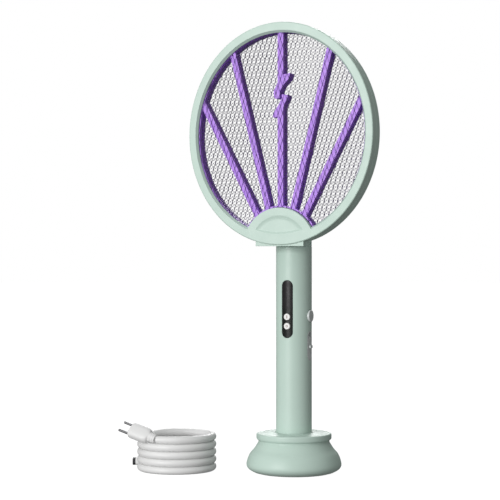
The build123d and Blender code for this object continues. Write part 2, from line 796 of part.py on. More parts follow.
# Expanded-metal sheet with diamond openings and a solid rim, cut out round the hub.
with BuildPart() as guard_mesh_front:
    with BuildSketch(at_y(MESH_FRONT_Y)):
        with Locations((0, HEAD_Z)):
            Ellipse(HEAD_RX - WALL_OUT, HEAD_RZ - WALL_OUT)
        with Locations((0, HUB_Z)):
            Circle(HUB_R + 0.3, mode=Mode.SUBTRACT)
        with Locations(*diamond_centres()):
            Polygon(
                (-DIAMOND_X, 0), (0, -DIAMOND_Z), (DIAMOND_X, 0), (0, DIAMOND_Z),
                align=None, mode=Mode.SUBTRACT,
            )
    extrude(amount=-MESH_T)
keep(guard_mesh_front, "guard_mesh_front")

with BuildPart() as live_mesh:
    with Locations((0, HEAD_MID - MESH_T / 2 - MESH_FRONT_Y, 0)):
        add(guard_mesh_front.part)
keep(live_mesh, "live_mesh")

with BuildPart() as guard_mesh_rear:
    with Locations((0, HEAD_BACK - LIP_T - 0.1 - MESH_T - MESH_FRONT_Y, 0)):
        add(guard_mesh_front.part)
keep(guard_mesh_rear, "guard_mesh_rear")

with BuildPart() as lamp_board:
    extrude(hub_disc(HEAD_FRONT + SHELL + 0.8, 32.0, 11.0), amount=-1.4)
keep(lamp_board, "lamp_board")

with BuildPart() as hub_lamps:
    with BuildSketch(at_y(HEAD_FRONT + SHELL + 2.2)):
        with Locations((0, HUB_Z)):
            with PolarLocations(29.0, 5, start_angle=50, angular_range=80, rotate=True):
                Rectangle(5.0, 5.0)
    extrude(amount=-2.6)
keep(hub_lamps, "hub_lamps")

# ================================================================ charging lead
COIL = Plane(
    origin=(COIL_X, COIL_Y, 0),
    x_dir=(cos(radians(COIL_TURN)), sin(radians(COIL_TURN)), 0),
    z_dir=(0, 0, 1),
)
COIL_AXIS = Axis((COIL_X, COIL_Y, 0), (0, 0, 1))
PLUG_POINT = (COIL_R * cos(radians(PLUG_ANGLE)), COIL_R * sin(radians(PLUG_ANGLE)))
PLUG_HEADING = (sin(radians(PLUG_ANGLE)), -cos(radians(PLUG_ANGLE)))

with BuildPart() as lead_coil:
    with BuildSketch(COIL):
        Circle(COIL_R + LEAD_D / 2)
        Circle(COIL_R - LEAD_D / 2, mode=Mode.SUBTRACT)
    extrude(amount=FOUR_TURNS)
    sector_x = COIL.x_dir.rotate(Axis.Z, PLUG_ANGLE)
    with BuildSketch(Plane(origin=COIL.origin, x_dir=sector_x, z_dir=sector_x.cross(Vector(0, 0, 1)))):
        with Locations((COIL_R, FOUR_TURNS + LEAD_D / 2)):
            Rectangle(LEAD_D, LEAD_D)
    revolve(axis=COIL_AXIS, revolution_arc=255)
keep(lead_coil, "lead_coil")


def along_plug(distance, tilt):
    """Frame on the plug's axis, a distance past the point where the cable leaves the coil."""
    start = COIL.from_local_coords(Vector(*PLUG_POINT, FOUR_TURNS + LEAD_D / 2))
    flat = COIL.x_dir * PLUG_HEADING[0] + COIL.y_dir * PLUG_HEADING[1]
    aim = flat * cos(radians(tilt)) + Vector(0, 0, 1) * sin(radians(tilt))
    across = Vector(0, 0, 1).cross(flat)
    rolled = across.rotate(Axis((0, 0, 0), aim), PLUG_ROLL)
    return Plane(origin=start + aim * distance, x_dir=rolled, z_dir=aim)


with BuildPart() as lead_stub:
    with BuildSketch(along_plug(0, 0)):
        Circle(LEAD_D / 2)
    with BuildSketch(along_plug(2.6, PLUG_TILT)):
        Circle(LEAD_D / 2)
    loft()
keep(lead_stub, "lead_stub")

with BuildPart() as plug_body:
    with BuildSketch(along_plug(2.6, PLUG_TILT)):
        Circle(LEAD_D / 2 + 0.3)
    with BuildSketch(along_plug(PLUG_BODY, PLUG_TILT)):
        Ellipse(5.2, 4.6)
    loft()
    with BuildSketch(along_plug(PLUG_BODY, PLUG_TILT)):
        Ellipse(6.6, 5.0)
    with BuildSketch(along_plug(PLUG_BODY + 5.0, PLUG_TILT)):
        Ellipse(8.0, 5.5)
    with BuildSketch(along_plug(PLUG_END, PLUG_TILT)):
        Ellipse(8.0, 5.5)
    loft()
keep(plug_body, "plug_body")

with BuildPart() as plug_pins:
    with BuildSketch(along_plug(PLUG_END, PLUG_TILT)):
        with Locations((-PIN_SPACING / 2, 0), (PIN_SPACING / 2, 0)):
            Circle(1.3)
    extrude(amount=12)
    plug_axis = Axis(along_plug(0, PLUG_TILT).origin, along_plug(0, PLUG_TILT).z_dir)
    fillet(edges().filter_by(GeomType.CIRCLE).sort_by(plug_axis)[-2:], 0.5)
keep(plug_pins, "plug_pins")

def across_coil(local_x):
    """Frame on the lead's other end, which runs off the back of the coil along the floor."""
    heading = -COIL.x_dir
    point = COIL.from_local_coords(Vector(local_x, COIL_R, 0)) + Vector(0, 0, LEAD_D / 2 + 0.2)
    return Plane(origin=point, x_dir=Vector(0, 0, 1).cross(heading), z_dir=heading)


with BuildPart() as lead_tail:
    with BuildSketch(across_coil(TAIL_START)):
        Circle(LEAD_D / 2)
    extrude(amount=TAIL_START - TAIL_END)
    with BuildSketch(COIL):
        Circle(COIL_R + LEAD_D / 2)
    extrude(amount=20, mode=Mode.SUBTRACT)
keep(lead_tail, "lead_tail")

with BuildPart() as connector_body:
    with BuildSketch(across_coil(TAIL_END - 0.1)):
        Circle(LEAD_D / 2 + 0.2)
    with BuildSketch(across_coil(TAIL_END - 6.0)):
        SlotOverall(CONNECTOR_W, CONNECTOR_H)
    loft()
    with BuildSketch(across_coil(TAIL_END - 6.0)):
        SlotOverall(CONNECTOR_W, CONNECTOR_H)
    extrude(amount=11.0)
keep(connector_body, "connector_body")

with BuildPart() as connector_face:
    with BuildSketch(across_coil(TAIL_END - 17.0)):
        SlotOverall(CONNECTOR_W - 0.8, CONNECTOR_H - 0.8)
        with Locations((-4.3, 0), (4.3, 0)):
            Circle(1.3, mode=Mode.SUBTRACT)
    extrude(amount=3.0)
keep(connector_face, "connector_face")

print("coil turn radius", COIL_R, "mm =", round(COIL_R / LEAD_D, 2), "cable diameters")
print("pieces", len(made))
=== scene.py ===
"""Looks for the electric fly swatter standing in its charging dock, with its coiled lead.

Shapes are written in millimetres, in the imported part's frame: the dock's foot is centred on
the origin, +Z is up, and the swatter's front faces -Y. They turn into metres in build().
"""

from math import asin, atan2, cos, pi, radians, sin, sqrt

import bmesh
import bpy
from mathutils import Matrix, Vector
from mathutils.geometry import tessellate_polygon


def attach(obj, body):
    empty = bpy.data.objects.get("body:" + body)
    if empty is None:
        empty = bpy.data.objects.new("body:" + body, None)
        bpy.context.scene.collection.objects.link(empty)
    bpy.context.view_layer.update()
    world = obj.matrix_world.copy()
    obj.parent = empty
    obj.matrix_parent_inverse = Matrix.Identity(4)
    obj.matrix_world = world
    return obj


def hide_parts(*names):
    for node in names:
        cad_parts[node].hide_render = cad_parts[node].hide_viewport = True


MM = 0.001
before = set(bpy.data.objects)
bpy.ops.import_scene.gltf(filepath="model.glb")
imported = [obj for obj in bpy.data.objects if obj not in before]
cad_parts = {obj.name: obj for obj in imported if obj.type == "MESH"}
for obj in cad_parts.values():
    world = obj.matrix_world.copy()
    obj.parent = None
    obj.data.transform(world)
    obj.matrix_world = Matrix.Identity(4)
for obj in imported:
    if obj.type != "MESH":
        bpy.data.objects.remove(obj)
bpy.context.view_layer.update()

# ---- handle
TUBE_R = 17.5
TUBE_IN_R = 15.5
TUBE_LOW = 14.0
TUBE_HIGH = 221.0
PANEL_HALF_W = 5.75
PANEL_HALF_H = 28.1
PANEL_Z = 160.1
PANEL_BUTTON_Z = (152.6, 143.6)
POWER_Z = 153.2
SLOT_Z = 124.0

# ---- head
HEAD_Z = 329.3
HEAD_RX = 96.0
HEAD_RZ = 107.0
HEAD_FRONT = -37.8
HEAD_BACK = -17.8
HEAD_MID = (HEAD_FRONT + HEAD_BACK) / 2
HALF_DEEP = (HEAD_BACK - HEAD_FRONT) / 2
RING_FACE = 7.1
RING_INNER = 8.9
BEVEL_DEEP = 2.7
LIP_DEEP = 3.0
WALL_INSET = 8.0
HUB_Z = 220.9
HUB_R = 37.6
LENS_R = 29.8
LENS_INSET = 9.6
LENS_DEEP = 1.0
SCREW_INSET = 4.0
SCREW_COUNT = 8
SCREW_START = 22.5
SCREW_BORE = ((2.0, 3.0), (0.1, 2.75), (-0.3, 2.35), (-1.7, 2.35))
PLATE_HALF_W = 25.0
PLATE_LOW = 221.2
PLATE_FRONT = -36.0
PLATE_BACK = -30.8

# ---- wire meshes: each layer sits to the left of the one before it by LEAN times the depth
MESH_DEEP = 3.8
CELL_W = 4.6
TALL_CELL = 13.0
FINE_CELL = 3.15
TALL_WIRE = 0.12
FINE_WIRE = 0.075
WIRE_DEEP = 0.28
KNUCKLE_W = 0.46
KNUCKLE_H = 0.8
KNUCKLE_DEEP = 0.34
MESH_RIM = 8.8
LEAN = 0.457

# ---- lead
LEAD_R = 3.7
COIL_R = 35.5
COIL_X = -111.3
COIL_Y = -34.4
COIL_TURN = radians(24.6)
PLUG_ANGLE = 240.0
PLUG_TILT = radians(15.0)
PLUG_ROLL = radians(-45.0)
TAIL_ANGLE = 1890.0
TAIL_END = -26.0
TAIL_Z = LEAD_R + 0.2
POINTS_PER_TURN = 16
CONTROL_R = COIL_R / cos(pi / POINTS_PER_TURN)

# ---- studio, with the camera in metres
CAMERA_AT = (0.6001, -1.4168, 0.2175)
CAMERA_TURN = radians(24.56)
DOME_R = 9.0
FLOOR_HALF = 8500.0


# ================================================================ mesh tools
class Solid:
    """Vertices and faces of one piece, in millimetres, gathered loop by loop."""

    def __init__(self):
        self.points = []
        self.faces = []

    def loop(self, points):
        """Adds a row of points and returns their numbers."""
        start = len(self.points)
        self.points.extend(points)
        return list(range(start, len(self.points)))

    def band(self, one, two):
        """Quads between two closed loops that have as many points."""
        count = len(one)
        for index in range(count):
            after = (index + 1) % count
            self.faces.append((one[index], one[after], two[after], two[index]))

    def skin(self, loops):
        """Quads along a row of closed loops."""
        for one, two in zip(loops, loops[1:]):
            self.band(one, two)

    def fill(self, *loops):
        """Triangles over the area inside the first loop and outside the others."""
        numbers = [n for loop in loops for n in loop]
        outlines = [[Vector(self.points[n]) for n in loop] for loop in loops]
        for corners in tessellate_polygon(outlines):
            self.faces.append(tuple(numbers[c] for c in corners))


def build(name, solid, sharp=35.0, weighted=True):
    """Makes a smooth-shaded Blender object from a Solid, with creases where it turns sharply."""
    mesh = bpy.data.meshes.new(name)
    mesh.from_pydata([Vector(p) * MM for p in solid.points], [], solid.faces)
    work = bmesh.new()
    work.from_mesh(mesh)
    bmesh.ops.remove_doubles(work, verts=work.verts, dist=1e-7)
    bmesh.ops.recalc_face_normals(work, faces=work.faces)
    work.to_mesh(mesh)
    work.free()
    thing = bpy.data.objects.new(name, mesh)
    bpy.context.scene.collection.objects.link(thing)
    crease(thing, sharp, weighted)
    return thing


def crease(thing, sharp=35.0, weighted=True):
    """Smooth shading that breaks at edges turning by more than an angle."""
    thing.data.shade_smooth()
    thing.data.set_sharp_from_angle(angle=radians(sharp))
    if weighted and "even" not in thing.modifiers:
        even = thing.modifiers.new("even", "WEIGHTED_NORMAL")
        even.keep_sharp = True
        even.weight = 80


def carve(thing, *cutters):
    """Cuts the cutters out of a piece and removes them."""
    for cutter in cutters:
        cut = thing.modifiers.new("cut", "BOOLEAN")
        cut.operation = "DIFFERENCE"
        cut.solver = "EXACT"
        cut.object = cutter
        with bpy.context.temp_override(object=thing, active_object=thing):
            bpy.ops.object.modifier_move_to_index(modifier="cut", index=0)
            bpy.ops.object.modifier_apply(modifier="cut")
        bpy.data.objects.remove(cutter)
    crease(thing)


def soften(thing, width, steps=2, angle=40.0):
    """Rounds the hard edges of a piece by a bevel that stays a modifier."""
    rounded = thing.modifiers.new("rounded", "BEVEL")
    rounded.width = width * MM
    rounded.segments = steps
    rounded.limit_method = "ANGLE"
    rounded.angle_limit = radians(angle)
    rounded.harden_normals = False
    even = thing.modifiers.new("even", "WEIGHTED_NORMAL")
    even.keep_sharp = False
    even.weight = 80


def lathe(profile, count=192, centre=(0.0, 0.0)):
    """Closed profile of (radius, z) points turned round an upright axis."""
    solid = Solid()
    rows = []
    for radius, z in profile:
        row = []
        for index in range(count):
            turn = 2 * pi * index / count
            row.append((centre[0] + radius * cos(turn), centre[1] + radius * sin(turn), z))
        rows.append(solid.loop(row))
    solid.skin(rows + rows[:1])
    return solid


def rounded(corners, steps=5):
    """Open outline through (a, b, radius) corners, with each corner rounded off by its radius."""
    line = []
    last = len(corners) - 1
    for index, (a, b, radius) in enumerate(corners):
        here = Vector((a, b))
        if radius == 0 or index in (0, last):
            line.append((a, b))
            continue
        before = Vector(corners[index - 1][:2]) - here
        after = Vector(corners[index + 1][:2]) - here
        one = here + before.normalized() * min(radius, before.length * 0.5)
        two = here + after.normalized() * min(radius, after.length * 0.5)
        for step in range(steps + 1):
            s = step / steps
            point = one * (1 - s) ** 2 + here * 2 * s * (1 - s) + two * s**2
            line.append((point.x, point.y))
    return line


def smooth_line(points, steps=8):
    """Smooth line that passes through every point."""
    line = []
    ends = [points[0]] + list(points) + [points[-1]]
    for a, b, c, d in zip(ends, ends[1:], ends[2:], ends[3:]):
        for step in range(steps):
            s = step / steps
            line.append(tuple(
                0.5 * (
                    2 * q + (r - p) * s
                    + (2 * p - 5 * q + 4 * r - t) * s**2
                    + (3 * q - p - 3 * r + t) * s**3
                )
                for p, q, r, t in zip(a, b, c, d)
            ))
    line.append(tuple(points[-1]))
    return line


# ================================================================ materials
class Shader:
    """A node material under construction: a Principled shader and the textures that feed it."""

    def __init__(self, name):
        self.material = bpy.data.materials.new(name)
        self.material.use_nodes = True
        self.nodes = self.material.node_tree.nodes
        self.links = self.material.node_tree.links
        self.bsdf = self.nodes["Principled BSDF"]
        self.place = self.add("ShaderNodeTexCoord").outputs["Object"]

    def add(self, kind, **settings):
        node = self.nodes.new(kind)
        for key, value in settings.items():
            setattr(node, key, value)
        return node

    def join(self, output, socket):
        self.links.new(output, socket)

    def noise(self, size, detail=3.0, stretch=None):
        """Noise whose blobs are about size millimetres across, from 0 to 1."""
        node = self.add("ShaderNodeTexNoise")
        node.inputs["Scale"].default_value = 1.0 / (size * MM)
        node.inputs["Detail"].default_value = detail
        place = self.place
        if stretch is not None:
            mapping = self.add("ShaderNodeMapping")
            mapping.inputs["Scale"].default_value = stretch
            self.join(place, mapping.inputs["Vector"])
            place = mapping.outputs["Vector"]
        self.join(place, node.inputs["Vector"])
        return node.outputs["Fac"]

    def span(self, output, low, high, from_low=0.3, from_high=0.7):
        """Maps a factor onto a range."""
        node = self.add("ShaderNodeMapRange")
        node.inputs["From Min"].default_value = from_low
        node.inputs["From Max"].default_value = from_high
        node.inputs["To Min"].default_value = low
        node.inputs["To Max"].default_value = high
        self.join(output, node.inputs["Value"])
        return node.outputs["Result"]

    def mix(self, factor, one, two):
        """Colour between two colours or sockets."""
        node = self.add("ShaderNodeMix", data_type="RGBA")
        self.join(factor, node.inputs["Factor"])
        for socket, value in ((node.inputs[6], one), (node.inputs[7], two)):
            if isinstance(value, tuple):
                socket.default_value = (*value, 1.0)
            else:
                self.join(value, socket)
        return node.outputs[2]

    def math(self, operation, one, two=None):
        node = self.add("ShaderNodeMath", operation=operation)
        for socket, value in zip(node.inputs, (one, two)):
            if value is None:
                continue
            if isinstance(value, (int, float)):
                socket.default_value = value
            else:
                self.join(value, socket)
        return node.outputs[0]

    def bump(self, height, distance, strength=0.3):
        node = self.add("ShaderNodeBump")
        node.inputs["Strength"].default_value = strength
        node.inputs["Distance"].default_value = distance * MM
        self.join(height, node.inputs["Height"])
        self.join(node.outputs["Normal"], self.bsdf.inputs["Normal"])

    def fix(self, **values):
        """Sets constants on the shader's own sockets."""
        for key, value in values.items():
            self.bsdf.inputs[key.replace("_", " ")].default_value = value


def moulded(name, light, dark, rough, grain=0.35, depth=0.012, cloud=38.0, **values):
    """Moulded plastic or rubber: slow colour drift, fine grain, and roughness that varies."""
    shader = Shader(name)
    drift = shader.span(shader.noise(cloud, 2.0), 0.0, 1.0)
    shader.join(shader.mix(drift, light, dark), shader.bsdf.inputs["Base Color"])
    patches = shader.noise(cloud * 0.35, 4.0)
    shader.join(shader.span(patches, rough - 0.04, rough + 0.05), shader.bsdf.inputs["Roughness"])
    shader.bump(shader.noise(grain, 2.0), depth)
    shader.fix(**values)
    return shader


def metal(name, light, dark, rough, streak=(1.0, 1.0, 1.0), size=1.5, metallic=1.0):
    """Metal with fine streaks in its roughness and colour."""
    shader = Shader(name)
    lines = shader.noise(size, 4.0, streak)
    shader.join(shader.mix(shader.span(lines, 0.0, 1.0), light, dark), shader.bsdf.inputs["Base Color"])
    shader.join(shader.span(lines, rough - 0.06, rough + 0.08), shader.bsdf.inputs["Roughness"])
    shader.bump(lines, 0.01)
    shader.fix(Metallic=metallic)
    return shader


def button_face(name, mark):
    """White push button with a small grey mark in its middle: mark gives its size as a socket."""
    shader = moulded(name, (0.86, 0.855, 0.84), (0.80, 0.795, 0.78), 0.32, 0.5, 0.004, 9.0)
    split = shader.add("ShaderNodeSeparateXYZ")
    shader.join(shader.place, split.inputs["Vector"])
    inside = mark(shader, split.outputs["X"], split.outputs["Z"])
    base = shader.bsdf.inputs["Base Color"].links[0].from_socket
    shader.join(shader.mix(inside, base, (0.36, 0.31, 0.29)), shader.bsdf.inputs["Base Color"])
    return shader.material


def bar_mark(shader, x, z):
    """Upright bar at the upper button's centre."""
    wide = shader.math("LESS_THAN", shader.math("ABSOLUTE", x), 0.65 * MM)
    height = shader.math("ABSOLUTE", shader.math("SUBTRACT", z, PANEL_BUTTON_Z[0] * MM))
    return shader.math("MULTIPLY", wide, shader.math("LESS_THAN", height, 1.5 * MM))


def ring_mark(shader, x, z):
    """Small ring at the lower button's centre."""
    height = shader.math("SUBTRACT", z, PANEL_BUTTON_Z[1] * MM)
    square = shader.math("ADD", shader.math("POWER", x, 2.0), shader.math("POWER", height, 2.0))
    radius = shader.math("SQRT", square)
    outside = shader.math("GREATER_THAN", radius, 0.5 * MM)
    return shader.math("MULTIPLY", outside, shader.math("LESS_THAN", radius, 1.25 * MM))


def circuit_board():
    """Green board with pale copper tracks under its lacquer."""
    shader = Shader("board")
    cells = shader.add("ShaderNodeTexVoronoi", distance="MANHATTAN", feature="DISTANCE_TO_EDGE")
    cells.inputs["Scale"].default_value = 1.0 / (3.2 * MM)
    shader.join(shader.place, cells.inputs["Vector"])
    track = shader.math("LESS_THAN", cells.outputs["Distance"], 0.06)
    shader.join(shader.mix(track, (0.02, 0.17, 0.08), (0.10, 0.33, 0.16)), shader.bsdf.inputs["Base Color"])
    shader.join(shader.span(track, 0.36, 0.28, 0.0, 1.0), shader.bsdf.inputs["Roughness"])
    shader.bump(track, 0.03)
    shader.fix(Coat_Weight=0.5)
    return shader


def smoked_window():
    """Near-black glossy window with a faint brown cast where the display sits."""
    shader = Shader("display_black")
    split = shader.add("ShaderNodeSeparateXYZ")
    shader.join(shader.place, split.inputs["Vector"])
    high = shader.span(split.outputs["Z"], 0.0, 1.0, 159.0 * MM, 163.0 * MM)
    cast = shader.mix(high, (0.006, 0.008, 0.007), (0.013, 0.012, 0.013))
    shader.join(cast, shader.bsdf.inputs["Base Color"])
    shader.join(shader.span(shader.noise(4.0, 4.0), 0.24, 0.36), shader.bsdf.inputs["Roughness"])
    shader.bump(shader.noise(9.0, 1.0), 0.01, 0.15)
    shader.fix(Specular_IOR_Level=0.2)
    return shader


MATERIALS = {
    "mint_shell": moulded("mint_shell", (0.545, 0.690, 0.615), (0.525, 0.672, 0.596), 0.42),
    "purple_ribs": moulded("purple_ribs", (0.52, 0.25, 0.90), (0.36, 0.15, 0.74), 0.42, cloud=3.5),
    # The wire steel is dark grey; its lilac tint is a painted reflection of the purple ribs behind it.
    "mesh_steel": metal("mesh_steel", (0.30, 0.27, 0.40), (0.16, 0.13, 0.24), 0.36, metallic=0.8),
    "display_black": smoked_window(),
    "button_white": moulded("button_white", (0.86, 0.85, 0.84), (0.8, 0.8, 0.78), 0.32, cloud=9.0),
    "side_grey": moulded("side_grey", (0.66, 0.70, 0.69), (0.62, 0.66, 0.65), 0.38, cloud=12.0),
    "foot_rubber": moulded("foot_rubber", (0.03, 0.03, 0.032), (0.05, 0.05, 0.05), 0.75, 0.6, 0.04),
    "screw_steel": metal("screw_steel", (0.50, 0.51, 0.53), (0.38, 0.39, 0.41), 0.32),
    "ballast_iron": moulded("ballast_iron", (0.12, 0.12, 0.125), (0.19, 0.17, 0.16), 0.6, 1.2, 0.12, 8.0),
    "board": circuit_board(),
    "black_plastic": moulded("black_plastic", (0.02, 0.02, 0.022), (0.03, 0.03, 0.032), 0.45),
    "contact_brass": metal("contact_brass", (0.80, 0.60, 0.28), (0.66, 0.47, 0.20), 0.28),
    "cell_wrap": moulded("cell_wrap", (0.06, 0.16, 0.46), (0.05, 0.13, 0.38), 0.22, 2.0, 0.01, 20.0),
    "lamp_lens": moulded("lamp_lens", (0.74, 0.66, 0.95), (0.68, 0.60, 0.92), 0.12, 1.0, 0.004, 3.0),
    "lead_white": moulded("lead_white", (0.84, 0.84, 0.835), (0.79, 0.79, 0.785), 0.44, 0.5, 0.008, 30.0),
    "pin_nickel": metal("pin_nickel", (0.42, 0.42, 0.43), (0.30, 0.30, 0.31), 0.24, (1.0, 1.0, 0.2)),
}


def dress(thing, body, slot, *nodes):
    """Gives a new piece its body and its slot's material, and hides the CAD nodes that it stands for."""
    thing.data.materials.clear()
    thing.data.materials.append(MATERIALS[slot].material)
    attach(thing, body)
    if nodes:
        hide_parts(*nodes)
    return thing


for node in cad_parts.values():
    for holder in node.material_slots:
        holder.material = MATERIALS[holder.name].material


# ================================================================ head ring
def oval(inset, turn, y):
    """Point on the head's oval, pulled in by the same inset all round."""
    return ((HEAD_RX - inset) * cos(turn), y, HEAD_Z + (HEAD_RZ - inset) * sin(turn))


def shrunk(inset, turn, y):
    """Point on a smaller oval of the same shape: inset at the sides and a little more above."""
    share = 1 - inset / HEAD_RX
    return (HEAD_RX * share * cos(turn), y, HEAD_Z + HEAD_RZ * share * sin(turn))


def oval_loop(inset, y, count=288):
    return [oval(inset, 2 * pi * index / count, y) for index in range(count)]


def meeting_turn(inset, radius):
    """Turn at which the oval meets the hub circle, on the right and below the middle."""
    low, high = -pi / 2, -0.1
    for _ in range(40):
        middle = (low + high) / 2
        x, _, z = shrunk(inset, middle, 0.0)
        if sqrt(x * x + (z - HUB_Z) ** 2) < radius:
            low = middle
        else:
            high = middle
    return middle


def hub_arc(inset, radius, y, count):
    """Points over the top of the hub circle, from its left meeting with the oval to its right."""
    x, _, z = shrunk(inset, meeting_turn(inset, radius), 0.0)
    start = atan2(z - HUB_Z, x)
    points = []
    for index in range(count + 1):
        angle = pi - start - (pi - 2 * start) * index / count
        points.append((radius * cos(angle), y, HUB_Z + radius * sin(angle)))
    return points


def opening_loop(inset, radius, y, along=220, over=64):
    """Outline of the window in the ring: up the right side, round the top, and over the hub."""
    start = meeting_turn(inset, radius)
    points = [shrunk(inset, start + (pi - 2 * start) * index / along, y) for index in range(along)]
    return points + hub_arc(inset, radius, y, over)[:-1]


def half_moon(inset, radius, y, below=48, over=64):
    """Outline of a half-moon on the hub: over the top, and back along the oval underneath."""
    start = meeting_turn(inset, radius)
    sweep = pi + 2 * start
    points = [shrunk(inset, start - sweep * index / below, y) for index in range(1, below)]
    return hub_arc(inset, radius, y, over) + points


def ring_half(name, face_y, step, lens):
    """Front or rear shell of the ring with its hub plate; step points from its face inwards."""
    edge = 1.2
    seam = 0.35
    solid = Solid()

    def at(deep):
        return face_y + step * deep

    outer = [solid.loop(oval_loop(seam, at(HALF_DEEP))), solid.loop(oval_loop(0.0, at(HALF_DEEP - seam)))]
    for index in range(11):
        angle = pi / 2 * index / 10
        outer.append(solid.loop(oval_loop(edge * (1 - cos(angle)), at(edge * (1 - sin(angle))))))
    solid.skin(outer)

    window = []
    for share in (0.0, 0.12, 0.5, 0.88, 1.0):
        inset = RING_FACE + (RING_INNER - RING_FACE) * share
        deep = BEVEL_DEEP * (share if share in (0.0, 1.0) else share * 0.94 + 0.03)
        window.append(solid.loop(opening_loop(inset, HUB_R - 0.5 * (1 - share) ** 2, at(deep))))
    window.append(solid.loop(opening_loop(RING_INNER, HUB_R, at(LIP_DEEP))))
    solid.skin(window)

    holes = [window[0]]
    if lens:
        dish = []
        for index in range(9):
            share = index / 8
            deep = LENS_DEEP * sin(pi / 2 * share)
            dish.append(solid.loop(half_moon(LENS_INSET + 2.0 * share, LENS_R - 4.5 * share, at(deep))))
        solid.skin(dish)
        solid.fill(dish[-1])
        holes.append(dish[0])
    solid.fill(outer[-1], *holes)

    inner = [solid.loop(oval_loop(WALL_INSET, at(deep))) for deep in (LIP_DEEP, HALF_DEEP)]
    solid.fill(inner[0], window[-1])
    solid.skin([inner[0], inner[1], outer[0]])
    return build(name, solid, 30.0)


ring_front = ring_half("ring_front", HEAD_FRONT, 1, True)
dress(ring_front, "head", "mint_shell", "head_front_frame")

ring_rear = ring_half("ring_rear", HEAD_BACK, -1, False)
for index in range(SCREW_COUNT):
    x, _, z = oval(SCREW_INSET, radians(SCREW_START + 360.0 / SCREW_COUNT * index), 0.0)
    bore = Solid()
    rows = []
    for back, radius in SCREW_BORE:
        y = HEAD_BACK + back
        rows.append(bore.loop([
            (x + radius * cos(2 * pi * k / 40), y, z + radius * sin(2 * pi * k / 40)) for k in range(40)
        ]))
    bore.skin(rows)
    bore.fill(rows[0])
    bore.fill(rows[-1])
    carve(ring_rear, build("screw_bore", bore, weighted=False))
dress(ring_rear, "head", "mint_shell", "head_rear_frame")


def neck_plate():
    """Flat plate under the ring; its top edge follows the ring's outer wall."""
    turn = asin(PLATE_HALF_W / (HEAD_RX - 0.5))
    outline = [(-PLATE_HALF_W, PLATE_LOW), (PLATE_HALF_W, PLATE_LOW)]
    for index in range(25):
        x, _, z = oval(0.5, -pi / 2 + turn - 2 * turn * index / 24, 0.0)
        outline.append((x, z))
    solid = Solid()
    rows = [solid.loop([(x, y, z) for x, z in outline]) for y in (PLATE_FRONT, PLATE_BACK)]
    solid.skin(rows)
    solid.fill(rows[0])
    solid.fill(rows[1])
    return build("neck_plate", solid, weighted=False)


plate = neck_plate()
soften(plate, 0.35, 3, 50.0)
dress(plate, "head", "mint_shell")


# ================================================================ wire meshes
def wire_mesh(name, node, y, cell_h, wide):
    """Sheet of expanded metal: slanted strands that meet in short knuckles."""
    hub_gap = HUB_R + 0.6
    shift = -LEAN * (y - HEAD_FRONT - MESH_DEEP)
    solid = Solid()

    def inside(x, z):
        oval_share = (x / (HEAD_RX - MESH_RIM)) ** 2 + ((z - HEAD_Z) / (HEAD_RZ - MESH_RIM)) ** 2
        return oval_share < 1.0 and x * x + (z - HUB_Z) ** 2 > hub_gap**2

    columns = int(HEAD_RX / CELL_W * 2) + 3
    rows = int(HEAD_RZ / cell_h * 2) + 1
    for column in range(-columns, columns + 1):
        for row in range(-rows, rows + 1):
            if (column + row) % 2:
                continue
            x = column * CELL_W / 2 + shift
            z = HEAD_Z + row * cell_h / 2
            if inside(x, z):
                a, b, c, d, front, back = solid.loop([
                    (x - KNUCKLE_W, y, z), (x, y, z - KNUCKLE_H),
                    (x + KNUCKLE_W, y, z), (x, y, z + KNUCKLE_H),
                    (x, y - KNUCKLE_DEEP, z), (x, y + KNUCKLE_DEEP, z),
                ])
                for one, two in ((a, b), (b, c), (c, d), (d, a)):
                    solid.faces += [(one, two, front), (two, one, back)]
            for side in (-1, 1):
                far_x = x + side * CELL_W / 2
                far_z = z + cell_h / 2
                if not inside((x + far_x) / 2, (z + far_z) / 2):
                    continue
                along = Vector((far_x - x, 0, far_z - z)).normalized()
                across = Vector((along.z, 0, -along.x)) * wide
                lift = Vector((0, WIRE_DEEP * side * 0.5, 0))
                ends = []
                for px, pz in ((x, z), (far_x, far_z)):
                    centre = Vector((px, y, pz))
                    ends.append(solid.loop([
                        tuple(centre + across + lift),
                        tuple(centre + Vector((0, WIRE_DEEP, 0))),
                        tuple(centre - across - lift),
                        tuple(centre - Vector((0, WIRE_DEEP, 0))),
                    ]))
                solid.band(*ends)
    return dress(build(name, solid, 60.0, weighted=False), "head", "mesh_steel", node)


wire_mesh("mesh_front", "guard_mesh_front", HEAD_FRONT + MESH_DEEP, TALL_CELL, TALL_WIRE)
wire_mesh("mesh_live", "live_mesh", HEAD_MID, FINE_CELL, FINE_WIRE)
wire_mesh("mesh_rear", "guard_mesh_rear", HEAD_BACK - MESH_DEEP, TALL_CELL, TALL_WIRE)

for name in ("rib_frame_front", "rib_frame_rear", "hinge_lug", "hinge_yoke"):
    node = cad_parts[name]
    weld = node.modifiers.new("weld", "WELD")
    weld.merge_threshold = 1e-6
    soften(node, 0.3, 2, 50.0)


# ================================================================ handle
def on_tube(across, z, radius, side):
    """Point at a radius from the tube's axis, seen straight from its front or its right side."""
    deep = sqrt(radius**2 - across**2)
    return (deep, across, z) if side else (across, -deep, z)


def pill(centre_z, half_w, half_h, grow, radius, side, count=24):
    """Pill outline laid on a cylinder about the tube's axis."""
    straight = half_h - half_w
    points = []
    for end, start in ((1, 0.0), (-1, pi)):
        for index in range(count + 1):
            angle = start + pi * index / count
            across = (half_w + grow) * cos(angle)
            z = centre_z + end * straight + (half_w + grow) * sin(angle)
            points.append(on_tube(across, z, radius, side))
    return points


